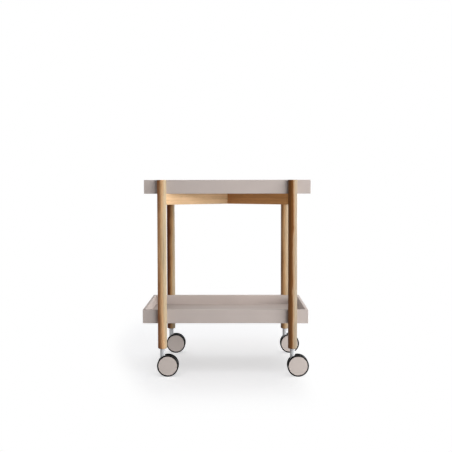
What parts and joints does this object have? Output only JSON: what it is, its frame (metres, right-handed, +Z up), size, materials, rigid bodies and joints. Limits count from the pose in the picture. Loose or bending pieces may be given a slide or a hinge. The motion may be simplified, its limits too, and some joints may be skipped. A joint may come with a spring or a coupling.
{
  "type": "tea trolley",
  "caption": "Tea trolley with upper and lower lacquered trays set into round oak legs, a crossed oak rail frame under the top and twin-wheel swivel casters.",
  "frame": {"origin": "on the floor, in the middle of the overall length and midway between front and back legs", "axes": "+Z up, X along the trays, -Y the front, +X the way the casters trail at rest"},
  "size_m": [0.587, 0.434, 0.686],
  "materials": {
    "tray_lacquer": "satin taupe lacquer",
    "oak": "oiled straight-grained oak",
    "beech": "plain beech",
    "fixing_steel": "zinc plated steel",
    "stem_metal": "satin pale grey metal",
    "nylon": "natural nylon",
    "core_plastic": "moulded black plastic",
    "tyre_black": "semi-gloss black polyurethane",
    "cap_lacquer": "satin taupe lacquer"
  },
  "bodies": {
    "frame": {"upper_tray_base": "tray_lacquer", "upper_tray_front_wall": "tray_lacquer", "upper_tray_back_wall": "tray_lacquer", "upper_tray_left_wall": "tray_lacquer", "upper_tray_right_wall": "tray_lacquer", "lower_tray_base": "tray_lacquer", "lower_tray_front_wall": "tray_lacquer", "lower_tray_back_wall": "tray_lacquer", "lower_tray_left_wall": "tray_lacquer", "lower_tray_right_wall": "tray_lacquer", "front_left_leg": "oak", "front_right_leg": "oak", "back_left_leg": "oak", "back_right_leg": "oak", "cross_rail_left_to_right": "oak", "cross_rail_right_to_left": "oak", "rail_dowels": "beech", "tray_screws": "fixing_steel", "leg_inserts": "fixing_steel", "swivel_studs": "stem_metal", "thrust_washers": "nylon", "stud_clips": "fixing_steel"},
    "front_left_caster": {"front_left_swivel_housing": "stem_metal", "front_left_axle": "fixing_steel", "front_left_axle_clips": "fixing_steel"},
    "front_left_outer_wheel": {"front_left_outer_core": "core_plastic", "front_left_outer_tyre": "tyre_black", "front_left_outer_cap": "cap_lacquer"},
    "front_left_inner_wheel": {"front_left_inner_core": "core_plastic", "front_left_inner_tyre": "tyre_black", "front_left_inner_cap": "cap_lacquer"},
    "front_right_caster": {"front_right_swivel_housing": "stem_metal", "front_right_axle": "fixing_steel", "front_right_axle_clips": "fixing_steel"},
    "front_right_outer_wheel": {"front_right_outer_core": "core_plastic", "front_right_outer_tyre": "tyre_black", "front_right_outer_cap": "cap_lacquer"},
    "front_right_inner_wheel": {"front_right_inner_core": "core_plastic", "front_right_inner_tyre": "tyre_black", "front_right_inner_cap": "cap_lacquer"},
    "back_left_caster": {"back_left_swivel_housing": "stem_metal", "back_left_axle": "fixing_steel", "back_left_axle_clips": "fixing_steel"},
    "back_left_outer_wheel": {"back_left_outer_core": "core_plastic", "back_left_outer_tyre": "tyre_black", "back_left_outer_cap": "cap_lacquer"},
    "back_left_inner_wheel": {"back_left_inner_core": "core_plastic", "back_left_inner_tyre": "tyre_black", "back_left_inner_cap": "cap_lacquer"},
    "back_right_caster": {"back_right_swivel_housing": "stem_metal", "back_right_axle": "fixing_steel", "back_right_axle_clips": "fixing_steel"},
    "back_right_outer_wheel": {"back_right_outer_core": "core_plastic", "back_right_outer_tyre": "tyre_black", "back_right_outer_cap": "cap_lacquer"},
    "back_right_inner_wheel": {"back_right_inner_core": "core_plastic", "back_right_inner_tyre": "tyre_black", "back_right_inner_cap": "cap_lacquer"}
  },
  "joints": [
    {"name": "front_left_swivel", "type": "hinge", "parent": "frame", "child": "front_left_caster", "pos_m": [-0.224, -0.2, 0.0375], "axis": [0, 0, 1], "continuous": true},
    {"name": "front_left_outer_roll", "type": "hinge", "parent": "front_left_caster", "child": "front_left_outer_wheel", "pos_m": [-0.205, -0.2, 0.0375], "axis": [0, 1, 0], "continuous": true},
    {"name": "front_left_inner_roll", "type": "hinge", "parent": "front_left_caster", "child": "front_left_inner_wheel", "pos_m": [-0.205, -0.2, 0.0375], "axis": [0, 1, 0], "continuous": true},
    {"name": "front_right_swivel", "type": "hinge", "parent": "frame", "child": "front_right_caster", "pos_m": [0.231, -0.2, 0.0375], "axis": [0, 0, 1], "continuous": true},
    {"name": "front_right_outer_roll", "type": "hinge", "parent": "front_right_caster", "child": "front_right_outer_wheel", "pos_m": [0.25, -0.2, 0.0375], "axis": [0, 1, 0], "continuous": true},
    {"name": "front_right_inner_roll", "type": "hinge", "parent": "front_right_caster", "child": "front_right_inner_wheel", "pos_m": [0.25, -0.2, 0.0375], "axis": [0, 1, 0], "continuous": true},
    {"name": "back_left_swivel", "type": "hinge", "parent": "frame", "child": "back_left_caster", "pos_m": [-0.224, 0.2, 0.0375], "axis": [0, 0, 1], "continuous": true},
    {"name": "back_left_outer_roll", "type": "hinge", "parent": "back_left_caster", "child": "back_left_outer_wheel", "pos_m": [-0.205, 0.2, 0.0375], "axis": [0, 1, 0], "continuous": true},
    {"name": "back_left_inner_roll", "type": "hinge", "parent": "back_left_caster", "child": "back_left_inner_wheel", "pos_m": [-0.205, 0.2, 0.0375], "axis": [0, 1, 0], "continuous": true},
    {"name": "back_right_swivel", "type": "hinge", "parent": "frame", "child": "back_right_caster", "pos_m": [0.231, 0.2, 0.0375], "axis": [0, 0, 1], "continuous": true},
    {"name": "back_right_outer_roll", "type": "hinge", "parent": "back_right_caster", "child": "back_right_outer_wheel", "pos_m": [0.25, 0.2, 0.0375], "axis": [0, 1, 0], "continuous": true},
    {"name": "back_right_inner_roll", "type": "hinge", "parent": "back_right_caster", "child": "back_right_inner_wheel", "pos_m": [0.25, 0.2, 0.0375], "axis": [0, 1, 0], "continuous": true}
  ]
}
